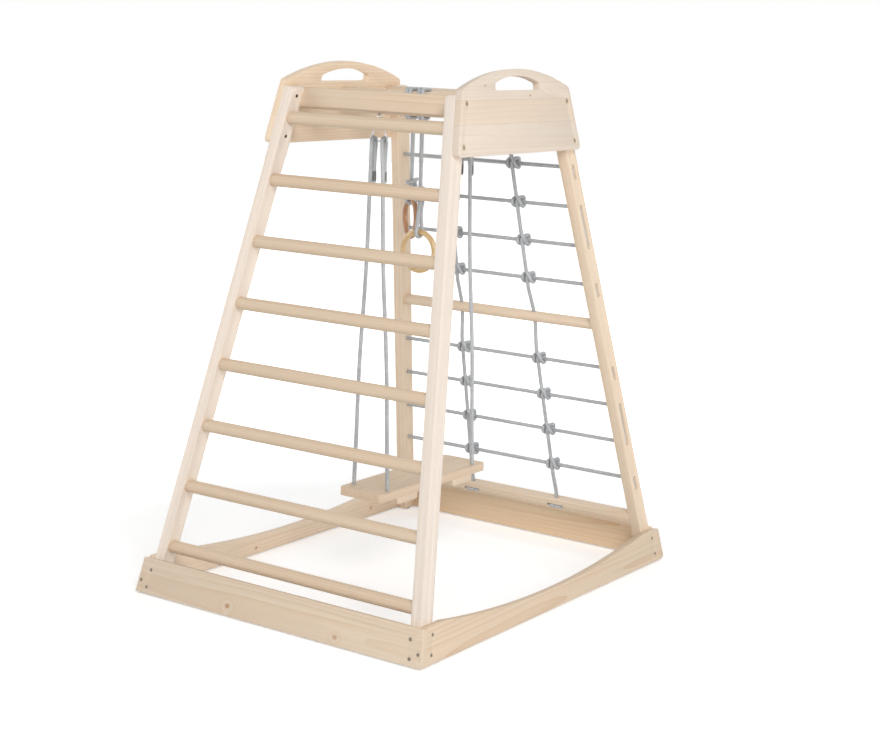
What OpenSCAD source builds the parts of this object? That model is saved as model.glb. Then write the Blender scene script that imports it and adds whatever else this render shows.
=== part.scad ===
// Indoor play tower: four leaning posts with a ladder, a rope net, a swing and gymnastic rings.
// X runs along the rungs, the ladder is at -Y and the net at +Y, and Z is up from the floor.

/* [Tower] */
// Height over everything
tower_h = 1275; // [1260:5:1300]
// Depth of the base over its front and back boards
base_d = 1105; // [1050:5:1180]
// Width of the base over its side boards
base_w = 849; // [800:5:920]
// Lean of the ladder and net sides from upright, in degrees
lean_y = 14; // [13:0.25:14.5]
// Lean of the two panel sides from upright, in degrees
lean_x = 7.5; // [6.5:0.25:8.5]
// Height of the glides under the posts
glide_h = 4; // [3:0.5:8]
// Diameter of the glides
glide_d = 22; // [16:1:26]

/* [Posts] */
// Thickness of a post along the rungs
post_t = 27; // [24:1:36]
// Depth of a post, front to back
post_d = 42; // [38:1:50]
// How far the posts end below the top of the tower
post_drop = 60; // [55:1:80]
// Rounding of the upper ends of the posts
post_end_r = 9; // [2:1:12]

/* [Base boards] */
// Thickness of the base boards
board_t = 18; // [15:1:22]
// Height of the base boards along their slope
board_h = 81; // [70:1:100]
// Height of the side boards at the middle of their hollowed edge
board_waist = 49; // [40:1:60]
// Length of the hollowed edge of a side board
hollow_l = 900; // [700:10:940]
// Rounding of the free corners of the side boards
board_r = 10; // [2:1:16]

/* [Ladder] */
// Number of rungs
rung_n = 8; // [8:1:8]
// Diameter of the rungs
rung_d = 31; // [24:1:36]
// Height of the lowest rung's axis
rung_z = 112; // [106:1:116]
// How far the axis of the highest rung lies below the posts' ends
rung_drop = 74; // [67:1:95]
// Depth to which rungs are let into the posts
let_in = 15; // [8:1:18]

/* [Top panels] */
// Thickness of the side panels
panel_t = 18; // [15:1:22]
// Height of the side panels
panel_h = 194; // [185:1:220]
// Rise of the arched top edge
arch_rise = 44; // [30:1:50]
// Rounding of the panel's corners
panel_r = 12; // [3:1:18]
// Width of the handle slot
slot_w = 190; // [140:5:220]
// Height of the handle slot at its middle
slot_h = 33; // [28:1:36]
// Height of the handle slot at its ends
slot_end_h = 16; // [15:1:22]
// Wood left over the handle slot
slot_rim = 16; // [12:1:22]
// Rounding of the slot's corners
slot_r = 7; // [2:1:8]

/* [Rails and ring beam] */
// Height of the top rails
rail_h = 48; // [44:1:50]
// Thickness of the top rails
rail_t = 27; // [24:1:32]
// How far the top rails lie below the posts' ends
rail_drop = 1; // [1:1:6]
// Height of the ring beam
beam_h = 60; // [54:1:62]
// Thickness of the ring beam
beam_t = 27; // [24:1:32]
// How far the ring beam lies below the top of the top rails
beam_drop = 3; // [1:1:8]
// Rounding of the rails' and the beam's long edges
edge_r = 4; // [2:0.5:6]

/* [Net] */
// Diameter of every rope
rope_d = 10; // [8:0.5:11]
// Diameter of the wooden bar
bar_d = 28; // [24:1:32]
// Number of ropes over the bar, and as many under it
net_n = 4; // [2:2:4]
// How far the highest rope lies below the posts' ends
net_drop = 179.5; // [172:0.5:200]
// Height of the lowest rope
net_low = 228; // [210:1:240]
// Height from the bar to the rope over it
gap_over = 103; // [80:1:104]
// Height from the bar to the rope under it
gap_under = 113.5; // [80:0.5:114]
// Distance of the upright ropes from the middle at the top rope
strand_top = 97; // [70:1:110]
// Distance of the upright ropes from the middle at the lower rail
strand_low = 135; // [100:1:170]
// Height of the net's lower rail
sill_h = 28; // [24:1:34]
// Thickness of the net's lower rail
sill_t = 27; // [24:1:32]
// Height of the top of the net's lower rail
sill_z = 131; // [130:1:160]
// Width of the grooves that hold the ropes in the posts
groove_w = 13; // [12:0.5:15]
// Depth of the grooves
groove_d = 13; // [12:0.5:15]

/* [Swing] */
// Length of the seat
seat_l = 450; // [400:5:500]
// Width of the seat
seat_w = 130; // [120:1:160]
// Thickness of the seat
seat_t = 20; // [18:1:26]
// Height of the top of the seat
seat_z = 263; // [220:1:400]
// Distance between the two ropes at an end of the seat
seat_rope_gap = 102; // [90:1:110]
// Distance of the ropes from the end of the seat
seat_hole_in = 43.3; // [38:0.1:48]
// Rounding of the seat's corners
seat_r = 14; // [5:1:25]
// Width of the battens under the seat
batten_w = 84; // [60:1:100]
// Thickness of the battens
batten_t = 16; // [12:1:20]
// Distance of the battens' middle from the ends of the seat
batten_in = 107; // [100:1:135]
// Width of the hanger links at their bar
link_w = 48; // [46:1:60]
// Height of the hanger links
link_h = 52; // [44:1:70]
// Diameter of the wire of links and eyes
wire_d = 4; // [3:0.5:5]
// Diameter of the eyes along their wire's middle
eye_d = 14; // [13:1:18]
// Length of the ropes' doubled ends
tail_l = 98; // [60:1:140]

/* [Rings] */
// Outer diameter of the rings
ring_d = 108; // [90:1:120]
// Thickness of the rings
ring_t = 14; // [12:1:18]
// Place along the beam of the front ring's rope
ring_x_front = 6; // [6:1:14]
// Place along the beam of the back ring's rope
ring_x_back = -48; // [-60:1:-45]
// How far the middle of the front ring hangs below the ring beam
ring_drop_front = 324; // [324:1:440]
// How far the middle of the back ring hangs below the ring beam
ring_drop_back = 249; // [236:1:249]
// Turn of the back ring about its rope, in degrees
ring_turn = -37; // [-38:1:-36]
// How far the knot in the front ring's rope lies below the ring beam
knot_drop_front = 188; // [111:1:240]
// How far the knot in the back ring's rope lies below the ring beam
knot_drop_back = 163; // [111:1:166]
// Turns of rope round the beam for each ring
wrap_n = 2; // [1:1:2]

/* [Fasteners] */
// Diameter of the bolts
bolt_d = 6; // [5:0.5:8]
// Diameter of the bolt heads
bolt_head_d = 13; // [11:0.5:15]
// Thickness of the bolt heads
bolt_head_t = 3; // [2:0.5:4]
// Diameter of the screws
screw_d = 5; // [4:0.5:6]
// Length of the screws
screw_l = 40; // [34:1:42]
// Diameter of the wooden dowels
dowel_d = 8; // [6:1:10]
// Length of the wooden dowels
dowel_l = 30; // [24:1:36]

/* [Hidden] */

wood = "#ecdcc0";
rope_grey = "#8f9598";
honey = "#c98f3c";
steel = "#b9bcc0";

cy = cos(lean_y);
sy = sin(lean_y);
ty = tan(lean_y);
cx = cos(lean_x);
sx = sin(lean_x);
tx = tan(lean_x);

// Clearances: of a piece in its bore, of pieces that pass, and the overrun of cuts
bore_fit = 0.1;
rope_fit = 0.3;
cut = 2;
// Reach of cutting and filling prisms, longer than the whole tower
reach = 2 * base_d;
// Facing of round pieces and of ropes
fine = 48;
coarse = 24;
tube_sides = 6;
rod_sides = 8;

// Outer faces of the posts at the boards' lower edge, and the posts' depths measured level
post_y0 = base_d / 2 - board_t / cy;
post_x0 = base_w / 2 - board_t / cx;
post_dy = post_d / cy;
post_dx = post_t / cx;
post_top = tower_h - post_drop;

function face_y(z) = post_y0 - ty * (z - glide_h);
function face_x(z) = post_x0 - tx * (z - glide_h);
function mid_y(z) = face_y(z) - post_dy / 2;
function mid_x(z) = face_x(z) - post_dx / 2;
function back_y(z) = face_y(z) - post_dy;
function inner_x(z) = face_x(z) - post_dx;
// Height turned into length along a panel's slope
function slope_x(z) = (z - glide_h) / cx;
// A place on the net side: level distance from the middle and height, for a length
// along the slope and a depth behind the posts' outer face
function lean_dist(s, depth) = post_y0 - s * sy - depth * cy;
function lean_height(s, depth) = glide_h + s * cy - depth * sy;
function slope_point(x, s, depth) = [x, lean_dist(s, depth), lean_height(s, depth)];

// Panel heights along its slope
panel_top_s = (tower_h - glide_h - panel_t * sx) / cx;
panel_low_s = panel_top_s - panel_h / cx;

// Top rails behind the posts, and the beam between them
rail_top = post_top - rail_drop;
rail_s = (rail_top - glide_h + post_d * sy) / cy - rail_h / 2;
rail_depth = post_d + rail_t / 2;
rail_under = lean_height(rail_s, rail_depth) - rail_h / 2 / cy;
beam_top = rail_top - beam_drop;
beam_low = beam_top - beam_h;

// Height from rung to rung
rung_pitch = (post_top - rung_drop - rung_z) / (rung_n - 1);

// Net rows, evenly apart over the bar and under it, and the lower rail between the posts
net_pitch = (post_top - net_drop - net_low - gap_over - gap_under) / (net_n - 1) / 2;
bar_z = net_low + (net_n - 1) * net_pitch + gap_under;
rows_over = [for (i = [net_n - 1:-1:0]) bar_z + gap_over + i * net_pitch];
rows_under = [for (i = [0:net_n - 1]) bar_z - gap_under - i * net_pitch];
sill_s = (sill_z - glide_h + post_d * sy) / cy - sill_h / 2;
sill_depth = post_d - sill_t / 2;
pocket_l = 5 * rope_d;
rope_r = rope_d / 2;
rope_bore_d = rope_d + 4 * rope_fit;
groove_rope = groove_d - rope_r - rope_fit;
end_drop = 2.4 * rope_d;
knot_d = 2 * rope_d;
knot_t = rope_d;
hitch_r = rope_d + rope_fit;
hitch_w = 1.6 * rope_d;
hitch_steps = 16;

// Swing hangers: eye, pivot and link
swing_y = lean_dist(rail_s, rail_depth);
eye_z = rail_under - (eye_d + wire_d) / 2 / cy - rope_fit;
swing_z = eye_z - eye_d / 2;
link_r = wire_d + rope_fit;
link_turn = atan(link_w / 2 / link_h);
link_tip_z = swing_z + link_r / sin(link_turn);
link_bar_z = swing_z + link_r - link_h;
link_half = tan(link_turn) * (link_tip_z - link_bar_z);
link_rope_x = 0.31 * link_w;
hang_r = wire_d / 2 + rope_fit + rope_r;
seat_low = seat_z - seat_t;
seat_hole_y = seat_l / 2 - seat_hole_in;
batten_y = seat_l / 2 - batten_in;

// Rings: their ropes leave the beam at its front and its back
wrap_y = beam_t / 2 + rope_fit + rope_r;
wrap_r = edge_r + rope_fit + rope_r;
wrap_pitch = 1.08 * rope_d;
stub_z = beam_low - rope_d;
hang_z = stub_z - rope_fit - rope_r;
loop_r = ring_t / 2 + rope_fit + rope_r;
ring_mid_r = (ring_d - ring_t) / 2;
ring_z_front = beam_low - ring_drop_front;
ring_z_back = beam_low - ring_drop_back;

// Fasteners: heights of the panel bolts, places of the board screws along their slopes
bolts_z = [tower_h - panel_h + 1.5 * bolt_head_d, rail_top - rail_h / 2 + bolt_d];
nut_d = 1.5 * bolt_d;
nut_l = 2 * bolt_d;
screw_head_d = 1.8 * screw_d;
screw_head_t = 0.6 * screw_d;
screws_s = [0.14 * board_h, 0.66 * board_h];
side_screws_s = [0.22 * board_h, 0.75 * board_h];
corner_screw_s = 0.31 * board_h;
dowel_gap = rail_h / 2;

// Outlines: a polygon with rounded corners, and the radius of an arc over a chord
function unit(v) = v / norm(v);
function fillet(a, p, b, r, n) =
    r == 0 ? [p] :
    let (
        u = unit(a - p), v = unit(b - p), half = acos(u * v) / 2,
        c = p + unit(u + v) * r / sin(half), t = p + u * r / tan(half) - c,
        start = atan2(t[1], t[0]), side = u[0] * v[1] - u[1] * v[0] > 0 ? -1 : 1
    )
    [for (k = [0:n]) c + r * [
        cos(start + side * (180 - 2 * half) * k / n),
        sin(start + side * (180 - 2 * half) * k / n)
    ]];
function rounded(pts, rs, n = 6) =
    let (m = len(pts))
    [for (i = [0:m - 1]) each fillet(pts[(i + m - 1) % m], pts[i], pts[(i + 1) % m], rs[i], n)];
function box(w, h) = [[-w / 2, -h / 2], [w / 2, -h / 2], [w / 2, h / 2], [-w / 2, h / 2]];
function arc_radius(half, rise) = (half * half + rise * rise) / (2 * rise);
function arc(r, mid, half_turn, n) =
    [for (k = [0:n]) let (a = half_turn * (1 - 2 * k / n)) [r * sin(a), mid + r * cos(a)]];
function same(value, n) = [for (k = [1:n]) value];

// Long prisms: an outline seen from the front, and one seen from the side
module across_x(outline) {
    rotate([90, 0, 0]) linear_extrude(height = reach, center = true) polygon(outline);
}
module across_y(outline) {
    rotate([90, 0, 90]) linear_extrude(height = reach, center = true) polygon(outline);
}
// The plane of the posts' outer faces: drawing in X or Y and along the slope, depth outward
module on_front() {
    translate([0, -post_y0, glide_h]) rotate([90 - lean_y, 0, 0]) children();
}
module on_back() {
    mirror([0, 1, 0]) on_front() children();
}
module on_right() {
    translate([post_x0, 0, glide_h]) rotate([0, 0, 90]) rotate([90 - lean_x, 0, 0]) children();
}
// A bar along X with rounded long edges, centred on its section
module bar_x(depth, height, r) {
    rotate([90, 0, 90]) linear_extrude(height = reach, center = true)
        polygon(rounded(box(depth, height), [r, r, r, r], 5));
}
module round_bar(half, z, y, d) {
    translate([-half, y, z]) rotate([0, 90, 0]) cylinder(h = 2 * half, d = d, $fn = fine);
}
// A bore with its rim at the origin, and a pin, both along the drawing's depth
module pin(low, high, d) {
    translate([0, 0, low]) cylinder(h = high - low, d = d, $fn = fine);
}

// A rope swept along points; side is a direction that the path never follows
function tangent(p, i, ring) =
    let (m = len(p))
    ring ? unit(p[(i + 1) % m] - p[(i + m - 1) % m])
         : unit(p[min(i + 1, m - 1)] - p[max(i - 1, 0)]);
function section(p, i, r, n, side, ring) =
    let (t = tangent(p, i, ring), a = unit(cross(t, side)), b = cross(t, a))
    [for (k = [0:n - 1]) p[i] + r * (cos(360 * k / n) * a + sin(360 * k / n) * b)];
module sweep(p, radii, n, side = [1, 0, 0], ring = false) {
    m = len(p);
    wall = [for (i = [0:ring ? m - 1 : m - 2], k = [0:n - 1])
        let (a = i * n, b = (i + 1) % m * n, c = (k + 1) % n)
        each [[a + k, b + k, b + c], [a + k, b + c, a + c]]];
    caps = ring ? [] : [for (k = [1:n - 2])
        let (b = (m - 1) * n)
        each [[0, k, k + 1], [b, b + k + 1, b + k]]];
    polyhedron(
        points = [for (i = [0:m - 1]) each section(p, i, radii[i], n, side, ring)],
        faces = concat(wall, caps)
    );
}
module rope(p, n, side = [1, 0, 0]) {
    sweep(p, [for (i = p) rope_r], n, side);
}
// Least gap of a rope to itself, between points that lie far apart along it
function self_gap(p, far) =
    min([for (i = [0:len(p) - 1 - far], j = [i + far:len(p) - 1]) norm(p[i] - p[j])]) - rope_d;

// Posts, drawn at the right back and mirrored to the other corners
module post_blank() {
    intersection() {
        across_x(rounded([
            [inner_x(glide_h), glide_h], [face_x(glide_h), glide_h],
            [face_x(post_top), post_top], [inner_x(post_top), post_top]
        ], [0, 0, 0, post_end_r]));
        across_y([
            [back_y(glide_h), glide_h], [face_y(glide_h), glide_h],
            [face_y(post_top), post_top], [back_y(post_top), post_top]
        ]);
    }
}
// A bore from the post's inner face, level along X
module post_bore(z, d, depth) {
    translate([inner_x(z) + depth, mid_y(z), z]) rotate([0, -90, 0])
        cylinder(h = depth + post_t, d = d, $fn = fine);
}
module at_bolts() {
    on_right() for (z = bolts_z) translate([mid_y(z), slope_x(z), 0]) children();
}
module bolt_holes() {
    at_bolts() {
        pin(-post_t - cut, panel_t + cut, bolt_d + 2 * bore_fit);
        pin(-post_t - cut, nut_l - post_t, nut_d + 2 * bore_fit);
        pin(panel_t - bolt_head_t, panel_t + cut, bolt_head_d + 2 * bore_fit);
    }
}
// A screw through a board, its head flush; grown by a fit it is the screw's hole
module screw(grow, length = screw_l) {
    over = grow > 0 ? cut : 0;
    pin(board_t - length - grow, board_t, screw_d + 2 * grow);
    pin(board_t - screw_head_t - grow, board_t + over, screw_head_d + 2 * grow);
}
module board_screws(grow = 0) {
    on_back() for (s = screws_s) translate([mid_x(lean_height(s, 0)), s, 0]) screw(grow);
    on_right() for (s = side_screws_s) translate([mid_y(glide_h + s * cx), s, 0]) screw(grow);
}
module corner_screws(grow = 0) {
    on_front() for (side = [-1, 1])
        translate([side * (face_x(lean_height(corner_screw_s, 0)) + board_t / 2 / cx), corner_screw_s, 0])
            screw(grow, 0.7 * screw_l);
}
module post() {
    difference() {
        post_blank();
        bolt_holes();
        board_screws(bore_fit);
        children();
    }
}
module ladder_bores() {
    for (i = [0:rung_n - 1]) post_bore(rung_z + i * rung_pitch, rung_d + 2 * bore_fit, let_in);
}
// A groove in the post's outer face from one height down to another
module groove(z_a, z_b) {
    a = [mid_y(z_a), slope_x(z_a) + groove_rope * tx];
    b = [mid_y(z_b), slope_x(z_b) + groove_rope * tx];
    v = b - a;
    r = groove_w / 2;
    outline = rounded([
        [-r, -r], [norm(v) + r, -r], [norm(v) + r, r], [-r, r]
    ], [0.9 * r, 0.9 * r, 0.9 * r, 0.9 * r]);
    on_right() translate([0, 0, -groove_d]) linear_extrude(height = groove_d + cut)
        translate(a) rotate(atan2(v[1], v[0])) polygon(outline);
}
// Bores and grooves of one level rope: its ends lie in short grooves of the right post
module rope_ways(rows, right) {
    n = len(rows);
    for (z = rows) post_bore(z, rope_bore_d, post_t - groove_d + cut);
    if (right) {
        groove(rows[0], rows[0] - end_drop);
        if (n > 2) groove(rows[1], rows[2]);
        groove(rows[n - 1], rows[n - 1] - end_drop);
    } else {
        for (i = [0:2:n - 2]) groove(rows[i], rows[i + 1]);
    }
}
module net_post(right) {
    color(wood) post() {
        rope_ways(rows_over, right);
        rope_ways(rows_under, right);
        post_bore(bar_z, bar_d + 2 * bore_fit, let_in);
        sill_dowels(bore_fit);
    }
}
module ladder_post() {
    color(wood) post() ladder_bores();
}
module post_back_right() {
    net_post(true);
}
module post_back_left() {
    mirror([1, 0, 0]) net_post(false);
}
module post_front_right() {
    mirror([0, 1, 0]) ladder_post();
}
module post_front_left() {
    rotate([0, 0, 180]) ladder_post();
}

// Front and back base boards: level below, square to their slope above
module end_board(half) {
    difference() {
        intersection() {
            on_back() translate([-reach / 2, -board_h, 0]) cube([reach, 2 * board_h, board_t]);
            across_x([
                [-half, glide_h], [half, glide_h],
                [half - tx * reach / 4, glide_h + reach / 4],
                [tx * reach / 4 - half, glide_h + reach / 4]
            ]);
        }
        for (side = [0, 1]) mirror([side, 0, 0]) board_screws(bore_fit);
    }
}
module base_board_front() {
    color(wood) difference() {
        mirror([0, 1, 0]) end_board(base_w / 2);
        corner_screws(bore_fit);
    }
}
module base_board_back() {
    color(wood) end_board(post_x0);
}
// Side boards: hollowed above, covered by the front board and covering the back board's end
module side_board() {
    low_s = -board_t * tx;
    waist_s = (board_waist - glide_h) / cx;
    r = arc_radius(hollow_l / 2, board_h - waist_s);
    half_turn = asin(hollow_l / 2 / r);
    hollow = [for (p = arc(-r, waist_s + r, -half_turn, coarse)) p];
    color(wood) difference() {
        intersection() {
            on_right() linear_extrude(height = board_t) polygon(rounded(concat(
                [[-base_d / 2, low_s], [base_d / 2 - ty * low_s * cx, low_s]],
                [[base_d / 2 - ty * board_h * cx, board_h]],
                hollow,
                [[-base_d / 2, board_h]]
            ), concat([0, board_r, board_r], same(0, coarse + 2))));
            across_y([
                [-face_y(glide_h), glide_h], [base_d / 2, glide_h],
                [base_d / 2 - ty * reach / 8, glide_h + reach / 8],
                [ty * reach / 8 - face_y(glide_h), glide_h + reach / 8]
            ]);
        }
        for (side = [0, 1]) mirror([0, side, 0]) board_screws(bore_fit);
        corner_screws(bore_fit);
    }
}
module base_board_right() {
    side_board();
}
module base_board_left() {
    mirror([1, 0, 0]) side_board();
}
module base_screws() {
    color(steel) {
        for (x = [0, 1], y = [0, 1]) mirror([x, 0, 0]) mirror([0, y, 0]) board_screws();
        corner_screws();
    }
}
module glides() {
    color("dimgray") for (x = [-1, 1], y = [-1, 1])
        translate([x * mid_x(glide_h), y * mid_y(glide_h), 0])
            cylinder(h = glide_h, d = glide_d, $fn = fine);
}

// Ladder rungs, counted from below
module rung(i) {
    z = rung_z + i * rung_pitch;
    color(wood) round_bar(inner_x(z) + let_in - bore_fit, z, -mid_y(z), rung_d);
}

// Dowels: level along X, more of them in the rail or beam than in what holds it
module dowel(x, y, z, grow) {
    for (side = [0, 1]) mirror([side, 0, 0])
        translate([x, y, z]) rotate([0, 90, 0])
            pin(-0.6 * dowel_l - grow, 0.4 * dowel_l + grow, dowel_d + 2 * grow);
}
module end_dowels(grow = 0) {
    for (k = [-0.5, 0.5]) {
        s = rail_s + k * dowel_gap;
        z = lean_height(s, rail_depth);
        dowel(face_x(z), lean_dist(s, rail_depth), z, grow);
    }
}
module beam_dowels(grow = 0) {
    for (k = [-0.5, 0.5]) {
        z = beam_low + beam_h / 2 + k * dowel_gap;
        dowel(face_x(z), 0, z, grow);
    }
}
module sill_dowels(grow = 0) {
    z = lean_height(sill_s, sill_depth);
    dowel(inner_x(z), lean_dist(sill_s, sill_depth), z, grow);
}
module rail_dowels() {
    color(wood) {
        for (y = [0, 1]) mirror([0, y, 0]) end_dowels();
        beam_dowels();
        sill_dowels();
    }
}

// Top rails and ring beam, between the panels
module between_panels() {
    across_x([
        [-post_x0, glide_h], [post_x0, glide_h],
        [face_x(tower_h), tower_h], [-face_x(tower_h), tower_h]
    ]);
}
module rail() {
    color(wood) difference() {
        intersection() {
            on_back() translate([0, rail_s, -rail_depth]) bar_x(rail_h, rail_t, edge_r);
            between_panels();
        }
        translate([0, swing_y, 0]) pin(rail_under - cut, rail_under + rail_h / 2, wire_d + 2 * bore_fit);
        end_dowels(bore_fit);
    }
}
module top_rail_front() {
    mirror([0, 1, 0]) rail();
}
module top_rail_back() {
    rail();
}
module ring_beam() {
    color(wood) difference() {
        intersection() {
            translate([0, 0, beam_low + beam_h / 2]) bar_x(beam_t, beam_h, edge_r);
            between_panels();
        }
        beam_dowels(bore_fit);
    }
}
module panel() {
    corner_s = panel_top_s - arch_rise / cx;
    half_low = face_y(tower_h - panel_h);
    half_high = face_y(tower_h - arch_rise);
    r = arc_radius(half_high, arch_rise / cx);
    slot_top_s = panel_top_s - slot_rim;
    slot_top_r = arc_radius(slot_w / 2, slot_h - slot_end_h);
    slot_low = slot_top_s - slot_h;
    color(wood) difference() {
        on_right() linear_extrude(height = panel_t) difference() {
            polygon(rounded(concat(
                [[-half_low, panel_low_s], [half_low, panel_low_s]],
                arc(r, panel_top_s - r, asin(half_high / r), coarse)
            ), concat(same(panel_r, 3), same(0, coarse - 1), [panel_r])));
            polygon(rounded(concat(
                [[-slot_w / 2, slot_low], [slot_w / 2, slot_low]],
                arc(slot_top_r, slot_top_s - slot_top_r, asin(slot_w / 2 / slot_top_r), 12)
            ), concat(same(slot_r, 3), same(0, 11), [slot_r])));
        }
        for (y = [0, 1]) mirror([0, y, 0]) {
            bolt_holes();
            end_dowels(bore_fit);
        }
        beam_dowels(bore_fit);
    }
}
module side_panel_right() {
    panel();
}
module side_panel_left() {
    mirror([1, 0, 0]) panel();
}
module panel_bolts() {
    color(steel) for (x = [0, 1], y = [0, 1]) mirror([x, 0, 0]) mirror([0, y, 0]) at_bolts() {
        pin(bolt_d - post_t, panel_t, bolt_d);
        pin(panel_t - bolt_head_t, panel_t, bolt_head_d);
    }
}
module panel_nuts() {
    color(steel) for (x = [0, 1], y = [0, 1]) mirror([x, 0, 0]) mirror([0, y, 0]) at_bolts()
        difference() {
            pin(-post_t, nut_l - post_t - bore_fit, nut_d);
            pin(-post_t - cut, nut_l - post_t + cut, bolt_d + 2 * bore_fit);
        }
}

// Net: wooden bar, lower rail, two long level ropes and two upright ones
module net_bar() {
    color(wood) difference() {
        round_bar(inner_x(bar_z) + let_in - bore_fit, bar_z, mid_y(bar_z), bar_d);
        for (side = [-1, 1]) translate([side * strand_x(bar_z), mid_y(bar_z), bar_z])
            rotate([lean_y, side * atan(strand_lean), 0]) pin(-bar_d, bar_d, rope_bore_d);
    }
}
module net_sill() {
    low = sill_s - sill_h / 2;
    color(wood) difference() {
        intersection() {
            on_back() translate([0, sill_s, -sill_depth]) bar_x(sill_h, sill_t, edge_r);
            across_x([
                [-inner_x(glide_h), glide_h], [inner_x(glide_h), glide_h],
                [inner_x(tower_h), tower_h], [-inner_x(tower_h), tower_h]
            ]);
        }
        on_back() for (side = [-1, 1]) {
            translate([side * strand_low, low, -sill_depth]) rotate([-90, 0, 0])
                pin(0, 2 * sill_h, rope_bore_d);
            translate([side * strand_low - pocket_l / 2, low - cut, -post_d - cut])
                cube([pocket_l, knot_t + 2 * cut, (sill_t + knot_d) / 2 + rope_fit + cut]);
        }
        sill_dowels(bore_fit);
    }
}
strand_lean = (strand_top - strand_low) / (rows_over[0] - sill_z);
function strand_x(z) = strand_low + strand_lean * (z - sill_z);
// A corner of a rope in the post, drawn as three points
bend_r = 0.6 * rope_d;
function bend(p, a, b) = [
    p + bend_r * unit(a - p),
    p + 0.3 * bend_r * unit(unit(a - p) + unit(b - p)),
    p + bend_r * unit(b - p)
];
function net_route(rows) =
    let (
        n = len(rows),
        corner = [for (i = [0:n - 1], k = [0, 1])
            let (side = (i + k) % 2 == 0 ? 1 : -1)
            [side * (face_x(rows[i]) - groove_rope / cx), mid_y(rows[i]), rows[i]]],
        drop = end_drop * [tx, ty, -1],
        route = concat([corner[0] + drop], corner, [corner[2 * n - 1] + drop])
    )
    concat(
        [route[0]],
        [for (i = [1:2 * n]) each bend(route[i], route[i - 1], route[i + 1])],
        [route[2 * n + 1]]
    );
module net_rope_upper() {
    color(rope_grey) rope(net_route(rows_over), rod_sides, [0, 1, 0]);
}
module net_rope_lower() {
    color(rope_grey) rope(net_route(rows_under), rod_sides, [0, 1, 0]);
}
// One turn of an upright rope round a level one
function hitch(z) = [for (k = [0:hitch_steps])
    let (a = 360 * k / hitch_steps)
    [
        strand_x(z) + hitch_w * (k / hitch_steps - 0.5),
        mid_y(z) - hitch_r * cos(a),
        z - hitch_r * sin(a)
    ]];
strand_route = concat(
    [hitch(rows_over[0])[0] + 1.5 * rope_d * [0, -ty, 1]],
    [for (z = rows_over) each hitch(z)],
    [for (k = [1, -1]) let (z = bar_z + k * bar_d) [strand_x(z), mid_y(z), z]],
    [for (z = rows_under) each hitch(z)],
    [for (s = [1.5 * sill_h, knot_t, 0.7 * knot_t, 0.3 * knot_t, 0])
        slope_point(strand_low, sill_s + s - sill_h / 2, sill_depth)]
);
strand_radii = concat(same(rope_r, len(strand_route) - 3), [knot_d / 2, knot_d / 2, 0.8 * knot_d / 2]);
echo(strand_gap_to_itself = self_gap(strand_route, hitch_steps - 4));
module net_strand_right() {
    color(rope_grey) sweep(strand_route, strand_radii, tube_sides);
}
module net_strand_left() {
    color(rope_grey) mirror([1, 0, 0]) sweep(strand_route, strand_radii, tube_sides);
}

// Swing hangers, drawn at the back and mirrored to the front
module eye() {
    color(steel) {
        translate([0, swing_y, eye_z]) rotate([0, 90, 0]) rotate_extrude($fn = fine)
            translate([eye_d / 2, 0]) circle(d = wire_d, $fn = coarse);
        translate([0, swing_y, 0]) pin(eye_z + eye_d / 2, eye_z + eye_d / 2 + rail_h / 2, wire_d);
    }
}
module link() {
    outline = rounded(
        [[0, link_tip_z], [-link_half, link_bar_z], [link_half, link_bar_z]],
        [link_r, wire_d, wire_d], 8);
    path = [for (p = outline) [p[0], swing_y, p[1]]];
    color(steel) sweep(path, same(wire_d / 2, len(path)), rod_sides, [0, 1, 0], true);
}
module swing_eye_front() {
    mirror([0, 1, 0]) eye();
}
module swing_eye_back() {
    eye();
}
module swing_link_front() {
    mirror([0, 1, 0]) link();
}
module swing_link_back() {
    link();
}
// A rope from its knot under the seat, over the link's bar and down again
leg_knot = [[bore_fit, 0.8], [0.3 * knot_t, 1], [0.7 * knot_t, 1], [knot_t, 0.8], [knot_t + bore_fit, 0.5]];
function leg_route(side, shift) = concat(
    [for (k = leg_knot) [side * seat_rope_gap / 2, shift, seat_low + k[0]]],
    [[side * seat_rope_gap / 2, shift, seat_z + rope_r]],
    [for (k = [0:8])
        [side * link_rope_x, -hang_r * cos(22.5 * k), link_bar_z + hang_r * sin(22.5 * k)]],
    [[side * link_rope_x, hang_r, link_bar_z - tail_l]]
);
leg_radii = concat([for (k = leg_knot) k[1] * knot_d / 2], same(rope_r, 11));
module legs(end) {
    color(rope_grey) translate([0, end * swing_y, 0]) for (side = [-1, 1])
        sweep(leg_route(side, end * (seat_hole_y - swing_y)), leg_radii, rod_sides);
}
module swing_ropes_front() {
    legs(-1);
}
module swing_ropes_back() {
    legs(1);
}
module swing_seat() {
    color(wood) difference() {
        translate([0, 0, seat_low]) linear_extrude(height = seat_t)
            polygon(rounded(box(seat_w, seat_l), [seat_r, seat_r, seat_r, seat_r]));
        for (x = [-0.5, 0.5], y = [-1, 1]) translate([x * seat_rope_gap, y * seat_hole_y, 0]) {
            pin(seat_low - cut, seat_z + cut, rope_bore_d);
            pin(seat_low - cut, seat_low + knot_t + 3 * bore_fit, knot_d + 2 * rope_fit);
        }
        for (y = [-1, 1]) translate([0, y * batten_y, 0]) batten_fixing(bore_fit);
    }
}
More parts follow.
